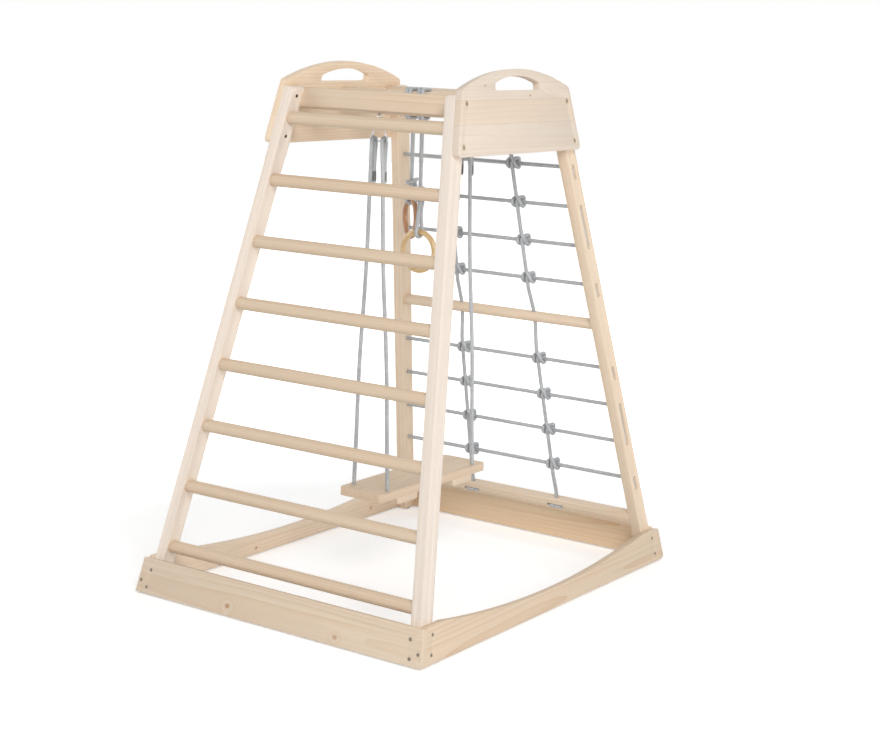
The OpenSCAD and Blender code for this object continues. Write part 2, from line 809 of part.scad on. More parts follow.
// Two screws up through a batten into the seat
module batten_fixing(grow = 0) {
    low = seat_low - batten_t;
    over = grow > 0 ? cut : 0;
    for (x = [-0.25, 0.25]) translate([x * seat_w, 0, 0]) {
        pin(low, seat_low + 0.6 * seat_t + grow, screw_d + 2 * grow);
        pin(low - over, low + screw_head_t + grow, screw_head_d + 2 * grow);
    }
}
module batten(y) {
    r = batten_t / 2;
    color(wood) translate([0, y, 0]) difference() {
        translate([0, 0, seat_low - r]) rotate([90, 0, 90])
            linear_extrude(height = seat_w, center = true)
                polygon(rounded(box(batten_w, batten_t), [r, r, 0, 0]));
        batten_fixing(bore_fit);
    }
}
module seat_batten_front() {
    batten(-batten_y);
}
module seat_batten_back() {
    batten(batten_y);
}
module batten_screws() {
    color(steel) for (y = [-1, 1]) translate([0, y * batten_y, 0]) batten_fixing();
}

// Rope wound on the beam: up its front, then over and under, and down its back to the end
function wrap_mid(a) = [
    (a % 4 == 0 || a % 4 == 3 ? -1 : 1) * (beam_t / 2 - edge_r),
    a % 4 < 2 ? beam_top - edge_r : beam_low + edge_r
];
function wrap_x(step) = 0.12 * rope_d + wrap_pitch * step / 24;
wrap_corners = 4 * wrap_n - 2;
wrap_route = concat(
    [[0, -wrap_y, stub_z], [0, -wrap_y, stub_z + rope_d]],
    [for (a = [0:wrap_corners - 1], k = [0:5])
        let (t = 180 - 90 * a - 18 * k, c = wrap_mid(a))
        [wrap_x(6 * a + k), c[0] + wrap_r * cos(t), c[1] + wrap_r * sin(t)]],
    [[wrap_x(6 * wrap_corners - 1), wrap_y, beam_top - edge_r - 2 * rope_d]]
);
echo(wrap_gap_to_itself = self_gap(wrap_route, 12));
module ring_wrap_front() {
    color(rope_grey) translate([ring_x_front, 0, 0]) mirror([1, 0, 0]) rope(wrap_route, tube_sides);
}
module ring_wrap_back() {
    color(rope_grey) translate([ring_x_back, 0, 0]) mirror([0, 1, 0]) rope(wrap_route, tube_sides);
}
// Hanging rope: domed top, bulge of its knot, and the loop round the ring's upper tube
dome_shares = [[0.97, 0.25], [0.8, 0.6], [0.5, 0.87], [0, 1]];
knot_shares = [[1.1, 1], [0.8, 1.7], [0, 2], [-0.8, 1.7], [-1.1, 1]];
strand_half = 0.54 * rope_d;
module hanging(z, knot_drop) {
    top = z + ring_mid_r;
    knot_z = beam_low - knot_drop;
    high = knot_z - 2.4 * rope_d;
    low = top + 2.6 * rope_d;
    necked = high > low;
    path = concat(
        [for (d = dome_shares) [0, 0, hang_z + d[0] * rope_r]],
        [for (k = knot_shares) [0, 0, knot_z + k[0] * rope_d]],
        [for (h = necked ? [high, low] : []) [0, -strand_half, h]],
        [for (k = [0:10])
            let (a = 160 + 22 * k)
            [0, loop_r * cos(a), top + loop_r * sin(a)]],
        necked ? [for (h = [low, high]) [0, strand_half, h]] : [[0, 0.9 * rope_d, top + 1.6 * rope_d]]
    );
    radii = concat([for (d = dome_shares) d[1] * rope_r], [for (k = knot_shares) k[1] * rope_r],
        same(rope_r, necked ? 15 : 12));
    color(rope_grey) sweep(path, radii, rod_sides);
}
module hoop(z) {
    color(honey) translate([0, 0, z]) rotate([90, 0, 0]) rotate_extrude($fn = fine)
        translate([ring_mid_r, 0]) circle(d = ring_t, $fn = coarse);
}
module at_front_ring() {
    translate([ring_x_front, -wrap_y, 0]) children();
}
module at_back_ring() {
    translate([ring_x_back, wrap_y, 0]) rotate([0, 0, ring_turn]) children();
}
module ring_rope_front() {
    at_front_ring() hanging(ring_z_front, knot_drop_front);
}
module ring_rope_back() {
    at_back_ring() hanging(ring_z_back, knot_drop_back);
}
module ring_front() {
    at_front_ring() hoop(ring_z_front);
}
module ring_back() {
    at_back_ring() hoop(ring_z_back);
}
echo(swing_pivot = [swing_y, swing_z], ring_pivot = [wrap_y, hang_z]);

post_front_left();
post_front_right();
post_back_left();
post_back_right();
base_board_front();
base_board_back();
base_board_left();
base_board_right();
rung(0);  // rung_1
rung(1);  // rung_2
rung(2);  // rung_3
rung(3);  // rung_4
rung(4);  // rung_5
rung(5);  // rung_6
rung(6);  // rung_7
rung(7);  // rung_8
top_rail_front();
top_rail_back();
ring_beam();
side_panel_left();
side_panel_right();
net_bar();
net_sill();
net_rope_upper();
net_rope_lower();
net_strand_left();
net_strand_right();
swing_eye_front();
swing_eye_back();
swing_link_front();
swing_link_back();
swing_ropes_front();
swing_ropes_back();
swing_seat();
seat_batten_front();
seat_batten_back();
ring_wrap_front();
ring_wrap_back();
ring_rope_front();
ring_rope_back();
ring_front();
ring_back();
panel_bolts();
panel_nuts();
base_screws();
rail_dowels();
batten_screws();
glides();
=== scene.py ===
"""Looks of the indoor play tower: planed pine, grey braided ropes, zinc fittings.

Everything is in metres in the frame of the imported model: X along the rungs, the
ladder side at -Y, the net side at +Y, Z up from the floor.
"""
from math import atan2, cos, hypot, pi, radians, sin, tan

import bmesh
import bpy
from mathutils import Matrix, Vector


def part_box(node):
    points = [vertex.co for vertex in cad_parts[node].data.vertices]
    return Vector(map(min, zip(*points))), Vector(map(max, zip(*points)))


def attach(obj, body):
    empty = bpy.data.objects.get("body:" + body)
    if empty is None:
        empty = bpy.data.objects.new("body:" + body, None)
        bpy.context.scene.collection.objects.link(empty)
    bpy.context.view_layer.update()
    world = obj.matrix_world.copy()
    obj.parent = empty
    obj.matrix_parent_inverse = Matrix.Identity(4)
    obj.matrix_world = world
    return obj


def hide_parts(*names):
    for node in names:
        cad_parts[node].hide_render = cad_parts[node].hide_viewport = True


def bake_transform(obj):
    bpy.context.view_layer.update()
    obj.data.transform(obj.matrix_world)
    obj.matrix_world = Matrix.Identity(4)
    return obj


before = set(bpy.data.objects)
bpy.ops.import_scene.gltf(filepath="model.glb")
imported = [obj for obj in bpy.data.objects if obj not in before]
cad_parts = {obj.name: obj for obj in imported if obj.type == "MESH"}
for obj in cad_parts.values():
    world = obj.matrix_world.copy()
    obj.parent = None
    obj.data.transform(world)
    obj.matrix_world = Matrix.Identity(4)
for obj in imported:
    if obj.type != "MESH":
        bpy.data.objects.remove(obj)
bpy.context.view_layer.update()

MM = 0.001
ENDS = (("front", -1), ("back", 1))
SIDES = (("left", -1), ("right", 1))

# Sizes that the ropes and fastenings share with the solids
LEAN_X = radians(7.5)
LEAN_Y = radians(14)
GLIDE_H = 4 * MM
POST_T = 27 * MM
POST_D = 42 * MM
BOARD_T = 18 * MM
BOARD_H = 81 * MM
PANEL_T = 18 * MM
BASE_D = 1105 * MM
BASE_W = 849 * MM
BEAM_LOW = 1151 * MM
BEAM_H = 60 * MM
BEAM_T = 27 * MM
ROPE_R = 5 * MM
FIT = 0.3 * MM
POST_X0 = BASE_W / 2 - BOARD_T / cos(LEAN_X)
POST_Y0 = BASE_D / 2 - BOARD_T / cos(LEAN_Y)


def face_x(z):
    return POST_X0 - tan(LEAN_X) * (z - GLIDE_H)


def face_y(z):
    return POST_Y0 - tan(LEAN_Y) * (z - GLIDE_H)


def mid_x(z):
    return face_x(z) - POST_T / 2 / cos(LEAN_X)


def mid_y(z):
    return face_y(z) - POST_D / 2 / cos(LEAN_Y)


def slope(side):
    """The plane of the posts' outer faces on one side: along it, up it and out of it."""
    along, lean, out = {
        "front": (Vector((1, 0, 0)), LEAN_Y, Vector((0, -1, 0))),
        "back": (Vector((-1, 0, 0)), LEAN_Y, Vector((0, 1, 0))),
        "right": (Vector((0, 1, 0)), LEAN_X, Vector((1, 0, 0))),
        "left": (Vector((0, -1, 0)), LEAN_X, Vector((-1, 0, 0))),
    }[side]
    up = Vector((0, 0, cos(lean))) - out * sin(lean)
    normal = out * cos(lean) + Vector((0, 0, sin(lean)))
    foot = out * (POST_Y0 if side in ("front", "back") else POST_X0)
    place = Matrix((along, up, normal)).transposed().to_4x4()
    place.translation = foot + Vector((0, 0, GLIDE_H))
    return place


# Finishes

MIX_FACTOR, MIX_A, MIX_B, MIX_RESULT = 0, 6, 7, 2


def srgb(red, green, blue):
    """A colour as it is read off a picture, as Blender's linear numbers."""
    return [((c / 255 + 0.055) / 1.055) ** 2.4 for c in (red, green, blue)] + [1]


def put(tree, socket, value):
    """Sets an input to a value or links it to another node's output."""
    if isinstance(value, bpy.types.NodeSocket):
        tree.links.new(value, socket)
    else:
        socket.default_value = value


def add_node(tree, kind, inputs=None, output=0, **settings):
    node = tree.nodes.new("ShaderNode" + kind)
    for name, value in settings.items():
        setattr(node, name, value)
    for socket, value in (inputs or {}).items():
        put(tree, node.inputs[socket], value)
    return node.outputs[output]


class Finish:
    """A material whose nodes are added one call at a time."""

    def __init__(self, name, **sockets):
        self.material = bpy.data.materials.new(name)
        self.material.use_nodes = True
        self.tree = self.material.node_tree
        self.shader = self.tree.nodes["Principled BSDF"]
        for socket, value in sockets.items():
            self.shader.inputs[socket.replace("_", " ")].default_value = value

    def add(self, kind, inputs=None, output=0, **settings):
        return add_node(self.tree, kind, inputs, output, **settings)

    def place(self):
        return self.add("TexCoord", output="Object")

    def math(self, operation, a, b=0.0):
        return self.add("Math", {0: a, 1: b}, operation=operation)

    def plus(self, a, b):
        return self.math("ADD", a, b)

    def times(self, a, b):
        return self.math("MULTIPLY", a, b)

    def vector(self, operation, a, b=(0, 0, 0), output="Vector"):
        return self.add("VectorMath", {0: a, 1: b}, output, operation=operation)

    def noise(self, place, stretch, detail=2.0, rough=0.5):
        """Soft noise with so many waves to a metre each way."""
        place = self.vector("MULTIPLY", place, stretch)
        return self.add("TexNoise", {"Vector": place, "Scale": 1.0, "Detail": detail, "Roughness": rough})

    def spread(self, value, low, high, to_low=0.0, to_high=1.0):
        """The value spread from one range to another, softly and kept inside it."""
        return self.add(
            "MapRange",
            {"Value": value, "From Min": low, "From Max": high, "To Min": to_low, "To Max": to_high},
            interpolation_type="SMOOTHSTEP",
        )

    def mix(self, factor, a, b):
        return self.add("Mix", {MIX_FACTOR: factor, MIX_A: a, MIX_B: b}, MIX_RESULT, data_type="RGBA")

    def veil(self, colour, over, mask, share):
        """Lays another colour over this one where the mask is, at most by the share."""
        return self.mix(self.times(mask, share), colour, over)

    def finish(self, colour, height, depth, strength, rough=None):
        """Plugs in the colour, the bump and, where it varies, the roughness."""
        bump = self.add("Bump", {"Strength": strength, "Distance": depth, "Height": height})
        put(self.tree, self.shader.inputs["Base Color"], colour)
        put(self.tree, self.shader.inputs["Normal"], bump)
        if rough is not None:
            put(self.tree, self.shader.inputs["Roughness"], rough)
        return self.material


# Pine's colours, the first three in a warm and in a cool board
EARLY_WOOD = (238, 219, 196), (246, 235, 224)
LATE_WOOD = (225, 196, 165), (239, 222, 207)
STREAK = (229, 203, 176), (240, 225, 210)
FIBRE = srgb(208, 178, 142)
RESIN_DUCT = srgb(170, 128, 86)
NEXT_STRIP = srgb(222, 194, 160)
GLUE_LINE = srgb(150, 112, 76)
KNOT = srgb(180, 132, 92)

# How far the pattern jumps from one strip of a glued board to the next
STRIP_JUMP_ALONG, STRIP_JUMP_ACROSS = 0.37, 0.023
GLUE_LINE_W = 0.5 * MM


def pine(name, centre, along, across, pith, shift, tone=1.0, pale=0.0, knots=(), seams=()):
    """Planed pine in a board's own frame: its grain runs along, its pith lies off the board.

    shift moves the pattern along, pale takes the yellow out or below zero adds to it,
    tone scales the colours, knots are (along, across, radius) from the centre, seams the
    places across at which the board is glued up from strips. Besides the boards' own
    differences, paler colours on lit boards and warmer ones on shaded boards are painted light and shade.
    """
    def shade(warm, cool):
        return srgb(*[tone * (a + pale * (b - a)) for a, b in zip(warm, cool)])

    wood = Finish(name, Specular_IOR_Level=0.35)
    along = Vector(along).normalized()
    across = (Vector(across) - along * along.dot(Vector(across))).normalized()
    turn = Matrix((along, across, along.cross(across)))
    mapping = {"Vector": wood.place(), "Location": -(turn @ Vector(centre)), "Rotation": turn.to_euler()}
    board = wood.add("Mapping", mapping)
    width = wood.add("SeparateXYZ", {0: board}, "Y")
    grain = wood.vector("ADD", board, Vector((shift, *pith)))

    # Each strip of a glued board is another piece of wood
    strip = 0.0
    line = 0.0
    for seam in seams:
        strip = wood.plus(wood.math("GREATER_THAN", width, seam), strip)
        near = wood.math("ABSOLUTE", wood.math("SUBTRACT", width, seam))
        line = wood.math("MAXIMUM", wood.spread(near, 0.0, GLUE_LINE_W, 1.0, 0.0), line)
    if seams:
        jump = {0: wood.times(strip, STRIP_JUMP_ALONG), 1: wood.times(strip, STRIP_JUMP_ACROSS)}
        grain = wood.vector("ADD", grain, wood.add("CombineXYZ", jump))

    # Knots push the growth rings aside and are darker themselves
    push = 0.0
    core = 0.0
    for knot_run, knot_width, radius in knots:
        away = wood.vector("SUBTRACT", board, (knot_run, knot_width, 0))
        away = wood.vector("MULTIPLY", away, (0.8 / radius, 1 / radius, 0))
        gap = wood.vector("LENGTH", away, output="Value")
        push = wood.plus(wood.spread(gap, 0.3, 4.0, 6.0, 0.0), push)
        core = wood.math("MAXIMUM", wood.spread(gap, 0.55, 1.25, 1.0, 0.0), core)

    rings = wood.add(
        "TexWave",
        {
            "Vector": wood.vector("MULTIPLY", grain, (0.10, 1, 1)),
            "Scale": 58.0,
            "Distortion": 9.0,
            "Detail": 2.0,
            "Detail Scale": 0.22,
            "Detail Roughness": 0.45,
            "Phase Offset": push,
        },
        output="Fac",
        wave_type="RINGS",
        rings_direction="X",
        wave_profile="SAW",
    )
    late = wood.math("POWER", rings, 2.6)
    fibre = wood.noise(grain, (14, 1100, 1100), 3.0, 0.6)
    streak = wood.noise(grain, (3, 150, 150))
    cloud = wood.noise(grain, (1.6, 9, 9))
    duct = wood.spread(wood.noise(grain, (45, 1300, 1300), 1.0), 0.70, 0.78)

    lateness = wood.times(late, wood.spread(cloud, 0.3, 0.7, 0.25, 0.85))
    colour = wood.mix(lateness, shade(*EARLY_WOOD), shade(*LATE_WOOD))
    colour = wood.mix(wood.spread(streak, 0.35, 0.7, 0.0, 0.35), colour, shade(*STREAK))
    colour = wood.veil(colour, FIBRE, wood.spread(fibre, 0.5, 0.75), 0.16)
    colour = wood.veil(colour, RESIN_DUCT, duct, 0.35)
    if seams:
        colour = wood.veil(colour, NEXT_STRIP, wood.math("MODULO", strip, 2.0), 0.22)
        colour = wood.veil(colour, GLUE_LINE, line, 0.45)
    if knots:
        colour = wood.veil(colour, KNOT, core, wood.spread(rings, 0.0, 1.0, 0.55, 0.95))
    height = wood.plus(wood.times(late, 0.5), wood.times(fibre, 0.6))
    return wood.finish(colour, height, 0.12 * MM, 0.6, wood.spread(fibre, 0.2, 0.8, 0.62, 0.48))


YARNS_EACH_WAY = 6.0
YARN_RISE = 5.4 * MM


def braided_rope(name, pale, dark):
    """Round braid of twelve yarns; it reads the rope's length and its way round as UVs. Its colour is painted
    shade: dark where the yarns dip, pale on their crowns.
    """
    rope = Finish(name, Roughness=0.34, Specular_IOR_Level=0.9)
    uv = rope.add("UVMap", uv_map="Rope")
    length, way_round = [rope.add("SeparateXYZ", {0: uv}, axis) for axis in "XY"]
    rise = rope.math("DIVIDE", length, YARN_RISE)
    turn = rope.times(way_round, YARNS_EACH_WAY)
    right = rope.plus(rise, turn)
    left = rope.math("SUBTRACT", rise, turn)
    wave_right, wave_left = [rope.math("SINE", rope.times(way, pi)) for way in (right, left)]
    crown_right, crown_left = [rope.math("ABSOLUTE", wave) for wave in (wave_right, wave_left)]

    # The yarns lie over each other by turns and are lower where they cross
    over = rope.math("GREATER_THAN", rope.times(wave_right, wave_left), 0.0)
    under = rope.math("SUBTRACT", 1.0, over)
    yarn = rope.plus(rope.times(crown_right, over), rope.times(crown_left, under))
    yarn = rope.times(yarn, rope.plus(0.55, rope.times(rope.times(crown_right, crown_left), 0.45)))
    cell = rope.add("CombineXYZ", {0: rope.math("FLOOR", right), 1: rope.math("FLOOR", left)})
    fleck = rope.add("TexWhiteNoise", {"Vector": cell}, noise_dimensions="3D")
    fluff = rope.noise(rope.place(), (2600, 2600, 2600))
    # Pale on the yarns' crowns and dark where they dip: painted shade, with each yarn's own fleck and the
    # fluff
    light = rope.plus(rope.times(yarn, 0.72), rope.times(fleck, 0.16))
    light = rope.plus(light, rope.times(fluff, 0.20))
    height = rope.plus(yarn, rope.times(fluff, 0.25))
    return rope.finish(rope.mix(rope.spread(light, 0.12, 0.88), dark, pale), height, 0.5 * MM, 0.7)


def lacquered_wood(name, light, dark):
    """Turned beech under a coloured lacquer, its grain running round the ring."""
    wood = Finish(name, Roughness=0.32, Coat_Weight=0.7, Coat_Roughness=0.12)
    uv = wood.add("UVMap", uv_map="Rope")
    grain = wood.noise(uv, (26, 4, 1), 4.0, 0.6)
    fleck = wood.noise(uv, (240, 26, 1))
    colour = wood.mix(wood.spread(grain, 0.3, 0.7), light, dark)
    colour = wood.mix(wood.spread(fleck, 0.52, 0.75, 0.0, 0.4), colour, srgb(142, 88, 34))
    return wood.finish(colour, grain, 0.05 * MM, 0.4)


def metal(name, colour, rough):
    """Zinc plate: fine drawn scratches and a few duller clouds."""
    zinc = Finish(name, Metallic=1.0)
    scratch = zinc.noise(zinc.place(), (900, 900, 260), 3.0, 0.6)
    cloud = zinc.noise(zinc.place(), (90, 90, 90))
    duller = [c * 0.78 for c in colour[:3]] + [1]
    shade = zinc.mix(zinc.spread(cloud, 0.3, 0.75), colour, duller)
    rough = zinc.spread(scratch, 0.25, 0.75, rough - 0.08, rough + 0.12)
    return zinc.finish(shade, scratch, 0.04 * MM, 0.35, rough)


def plastic(name, colour, rough):
    """Moulded plastic or shrunk sleeve with a fine orange peel."""
    skin = Finish(name, Specular_IOR_Level=0.4)
    peel = skin.noise(skin.place(), (1500, 1500, 1500))
    cloud = skin.noise(skin.place(), (120, 120, 120))
    lighter = [c * 1.35 for c in colour[:3]] + [1]
    shade = skin.mix(skin.spread(cloud, 0.3, 0.7, 0.0, 0.6), colour, lighter)
    rough = skin.spread(peel, 0.3, 0.7, rough - 0.06, rough + 0.08)
    return skin.finish(shade, peel, 0.05 * MM, 0.5, rough)


# Making pieces

SAME_POINT = 0.001 * MM
FLAT = radians(0.6)
EASED_FROM = radians(35)


def piece(bm, name, material, body, slot, *nodes, sharp=30, normals=True):
    """A finished piece from the bmesh: shaded, dressed and riding on its body, if it has one."""
    if normals:
        bmesh.ops.recalc_face_normals(bm, faces=bm.faces)
    mesh = bpy.data.meshes.new(name)
    bm.to_mesh(mesh)
    bm.free()
    mesh.shade_smooth()
    mesh.set_sharp_from_angle(angle=radians(sharp))
    mesh.materials.append(material)
    made = bpy.data.objects.new(name, mesh)
    bpy.context.scene.collection.objects.link(made)
    if body:
        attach(made, body)
    if nodes:
        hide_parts(*nodes)
    return made


def joined_copy(node):
    """The node's shape with its loose triangles joined into whole faces."""
    bm = bmesh.new()
    bm.from_mesh(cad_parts[node].data)
    bmesh.ops.remove_doubles(bm, verts=bm.verts, dist=2 * SAME_POINT)
    bmesh.ops.dissolve_limit(bm, angle_limit=FLAT, verts=bm.verts, edges=bm.edges)
    return bm


def ease_edges(bm, width):
    """Takes the sharpness off every edge that turns by more than EASED_FROM."""
    sharp = [e for e in bm.edges if len(e.link_faces) == 2 and e.calc_face_angle() > EASED_FROM]
    bmesh.ops.bevel(
        bm, geom=sharp, offset=width, offset_type="OFFSET", segments=2, profile=0.5,
        affect="EDGES", clamp_overlap=True, material=-1,
    )


def turned(bm, profile, place, segments, recess=None):
    """Spins a profile of (radius, height) in mm round the place's Z, as on a lathe.

    recess is (radius, outline): points of that radius are drawn in to the outline.
    """
    others = set(bm.verts)
    rim = [bm.verts.new((r * MM, 0, z * MM)) for r, z in profile]
    edges = [bm.edges.new(pair) for pair in zip(rim, rim[1:])]
    bmesh.ops.spin(
        bm, geom=rim + edges, cent=(0, 0, 0), axis=(0, 0, 1), angle=2 * pi, steps=segments, use_merge=True,
    )
    verts = [v for v in bm.verts if v not in others]
    for v in verts:
        if recess and abs(hypot(v.co.x, v.co.y) - recess[0] * MM) < SAME_POINT:
            share = recess[1](atan2(v.co.y, v.co.x))
            v.co.x *= share
            v.co.y *= share
    bmesh.ops.remove_doubles(bm, verts=verts, dist=SAME_POINT)
    verts = [v for v in bm.verts if v not in others]
    bmesh.ops.transform(bm, matrix=place, verts=verts)


def smooth_path(given, step=3.5 * MM):
    """A smooth curve through the points, in steps of about the given length.

    A long stretch between two points stays straight but for its ends.
    """
    points = given[:1]
    for a, b in zip(given, given[1:]):
        if (b - a).length > 8 * step:
            ease_in = (b - a).normalized() * 3 * step
            points += [a + ease_in, b - ease_in]
        points.append(b)
    path = []
    for i in range(len(points) - 1):
        a, b = points[i], points[i + 1]
        before = points[i - 1] if i else a * 2 - b
        after = points[i + 2] if i + 2 < len(points) else b * 2 - a
        reach = (b - a).length
        leave = (b - before).normalized() * reach
        arrive = (after - a).normalized() * reach
        count = max(1, round(reach / step))
        for k in range(count):
            t = k / count
            path.append(
                a * (2 * t**3 - 3 * t**2 + 1) + leave * (t**3 - 2 * t**2 + t)
                + b * (3 * t**2 - 2 * t**3) + arrive * (t**3 - t**2)
            )
    return path + [points[-1]]


# How far a cut end is rounded and how thin it gets, as shares of the radius
CUT_DEPTH, CUT_RADIUS = 0.3, 0.72


def rope_run(bm, path, radius=ROPE_R, sides=14, closed=False, ends=True):
    """Runs a round section along the path and writes its length and its way round as UVs."""
    uv = bm.loops.layers.uv.get("Rope") or bm.loops.layers.uv.new("Rope")
    radii = radius if isinstance(radius, list) else [radius] * len(path)
    if ends and not closed:
        first = (path[1] - path[0]).normalized() * radii[0] * CUT_DEPTH
        last = (path[-1] - path[-2]).normalized() * radii[-1] * CUT_DEPTH
        path = [path[0], path[0] + first] + path[1:-1] + [path[-1] - last, path[-1]]
        radii = [radii[0] * CUT_RADIUS, radii[0]] + radii[1:-1] + [radii[-1], radii[-1] * CUT_RADIUS]
    count = len(path)
    side = None
    lengths = [0.0]
    rings = []
    where = {}
    for i, point in enumerate(path):
        if closed:
            heading = (path[(i + 1) % count] - path[i - 1]).normalized()
        else:
            heading = (path[min(i + 1, count - 1)] - path[max(i - 1, 0)]).normalized()
        side = heading.orthogonal() if side is None else side
        side = (side - heading * side.dot(heading)).normalized()
        if i:
            lengths.append(lengths[-1] + (point - path[i - 1]).length)
        place = Matrix((side, heading.cross(side), heading)).transposed().to_4x4()
        place.translation = point
        verts = bmesh.ops.create_circle(bm, segments=sides, radius=radii[i], matrix=place)["verts"]
        rings.append(list(dict.fromkeys(e for v in verts for e in v.link_edges)))
        where.update({v: (i, k) for k, v in enumerate(verts)})
    whole = lengths[-1] + (path[0] - path[-1]).length
    for i in range(count if closed else count - 1):
        joined = bmesh.ops.bridge_loops(bm, edges=rings[i] + rings[(i + 1) % count])["faces"]
        for face in joined:
            spots = [where[loop.vert] for loop in face.loops]
            wraps = {k for _, k in spots} == {0, sides - 1}
            for loop, (ring, k) in zip(face.loops, spots):
                along = whole if closed and i == count - 1 and ring == 0 else lengths[ring]
                loop[uv].uv = (along, 1.0 if wraps and k == 0 else k / sides)
    if not closed:
        for ring in (rings[0], rings[-1]):
            bmesh.ops.contextual_create(bm, geom=ring)


# Wood: every board is the node's own shape with its edges eased

ALONG_X, ALONG_Y, UP = (1, 0, 0), (0, 1, 0), (0, 0, 1)
UP_FRONT, UP_BACK = (0, tan(LEAN_Y), 1), (0, -tan(LEAN_Y), 1)
UP_RIGHT, UP_LEFT = (-tan(LEAN_X), 0, 1), (tan(LEAN_X), 0, 1)

# Each board's pattern starts so much further along than the one's before it
SHIFT_STEP = 0.61


def wood_piece(node, along, across, pith, body="tower", ease=1.4 * MM, **look):
    low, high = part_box(node)
    centre = (Vector(low) + Vector(high)) / 2
    bm = joined_copy(node)
    if ease:
        ease_edges(bm, ease)
    shift = SHIFT_STEP * len(bpy.data.materials)
    material = pine("pine_" + node, centre, along, across, pith, shift, **look)
    return piece(bm, node + "_planed", material, body, "pine", node, normals=False)


# Each board's tone and pale below are partly its own colour and partly painted light and shade: lit boards
# paler, shaded boards warmer
POST_LOOKS = {
    ("front", "left"): {"tone": 0.99, "pale": 0.85},
    ("front", "right"): {"tone": 0.95, "pale": 0.9},
    ("back", "left"): {"tone": 1.03},
    ("back", "right"): {"tone": 0.985},
}
for depth, y_sign in ENDS:
    for side, x_sign in SIDES:
        wood_piece(
            f"post_{depth}_{side}", (-x_sign * tan(LEAN_X), -y_sign * tan(LEAN_Y), 1), ALONG_X,
            (0.045 * y_sign, 0.075 * x_sign), **POST_LOOKS[depth, side],
        )

wood_piece("base_board_front", ALONG_X, UP_FRONT, (0.02, 0.085), tone=0.935,
           knots=[(-0.134, -0.022, 0.006), (0.185, -0.026, 0.006)])
wood_piece("base_board_back", ALONG_X, UP_BACK, (-0.03, 0.07), tone=1.02, pale=-0.6)
wood_piece("base_board_right", ALONG_Y, UP_RIGHT, (0.03, -0.09), tone=0.925, pale=-0.2)
wood_piece("base_board_left", ALONG_Y, UP_LEFT, (-0.02, 0.08), tone=0.985,
           knots=[(-0.14, -0.024, 0.005), (0.35, -0.014, 0.005)])

for i in range(8):
    wood_piece(f"rung_{i + 1}", ALONG_X, ALONG_Y, (0.03 - 0.006 * i, 0.05), ease=0, tone=0.935, pale=-0.25)

wood_piece("top_rail_front", ALONG_X, UP_FRONT, (0.03, 0.06), tone=0.945, pale=-0.2)
wood_piece("top_rail_back", ALONG_X, UP_BACK, (-0.03, 0.06), tone=0.97)
wood_piece("ring_beam", ALONG_X, UP, (0.04, 0.05), tone=0.97)
wood_piece("side_panel_right", ALONG_Y, UP_RIGHT, (0.02, 0.11), ease=2.2 * MM, tone=0.915, pale=0.55,
           seams=(-0.027, 0.028), knots=[(0.051, 0.036, 0.0035), (-0.136, 0.06, 0.003)])
wood_piece("side_panel_left", ALONG_Y, UP_LEFT, (-0.02, 0.12), ease=2.2 * MM, tone=1.03, pale=-0.15,
           seams=(-0.03, 0.045))
wood_piece("net_bar", ALONG_X, ALONG_Y, (0.02, 0.055), ease=0)
wood_piece("net_sill", ALONG_X, UP_BACK, (0.02, 0.05), tone=0.97)
wood_piece("swing_seat", ALONG_Y, ALONG_X, (0.015, 0.07), "swing", 2.0 * MM, tone=0.965, pale=-0.2,
           knots=[(0.05, 0.03, 0.006)])
wood_piece("seat_batten_front", ALONG_X, ALONG_Y, (0.01, 0.05), "swing", tone=0.97)
wood_piece("seat_batten_back", ALONG_X, ALONG_Y, (-0.02, 0.05), "swing", tone=0.97)
wood_piece("rail_dowels", ALONG_X, ALONG_Y, (0.0, 0.03), ease=0.5 * MM, tone=0.95)


# Ropes: the same routes as the solids, with real knots

# The dark colour, which fills the dips between the yarns, is painted shade
rope_grey = braided_rope("grey_braided_rope", srgb(226, 230, 234), srgb(64, 66, 69))
sleeve_grey = plastic("grey_shrink_sleeve", srgb(112, 110, 108), 0.26)

NET_TOP = 1035.5 * MM
NET_LOW = 228 * MM
NET_PITCH = 98.5 * MM
BAR_Z = 637 * MM
SILL_Z = 131 * MM
STRAND_TOP = 97 * MM
STRAND_LOW = 135 * MM
ROWS_OVER = [NET_TOP - i * NET_PITCH for i in range(4)]
ROWS_UNDER = [NET_LOW + i * NET_PITCH for i in (3, 2, 1, 0)]
ROPE_DEEP = 7.7 * MM
ROPE_BEND = 6 * MM
END_DROP = 24 * MM
LEVEL_STEP = 16 * MM


def net_route(rows):
    """One rope through the posts: across, down in a groove, back again, its ends turned down."""
    corners = []
    for i, z in enumerate(rows):
        for k in (0, 1):
            side = 1 if (i + k) % 2 == 0 else -1
            corners.append(Vector((side * (face_x(z) - ROPE_DEEP / cos(LEAN_X)), mid_y(z), z)))
    drop = END_DROP * Vector((tan(LEAN_X), tan(LEAN_Y), -1))
    route = [corners[0] + drop] + corners + [corners[-1] + drop]
    path = [route[0]]
    for before, corner, after in zip(route, route[1:], route[2:]):
        start = corner + ROPE_BEND * (before - corner).normalized()
        end = corner + ROPE_BEND * (after - corner).normalized()
        bend = [start.lerp(corner, t).lerp(corner.lerp(end, t), t) for t in (0, 0.25, 0.5, 0.75, 1)]
        span = start - path[-1]
        count = max(1, round(span.length / LEVEL_STEP))
        path += [path[-1] + span * k / count for k in range(1, count)] + bend
    return path + [route[-1]]


for name, rows in (("upper", ROWS_OVER), ("lower", ROWS_UNDER)):
    bm = bmesh.new()
    rope_run(bm, net_route(rows))
    piece(bm, f"net_rope_{name}_braid", rope_grey, "tower", "rope", f"net_rope_{name}")

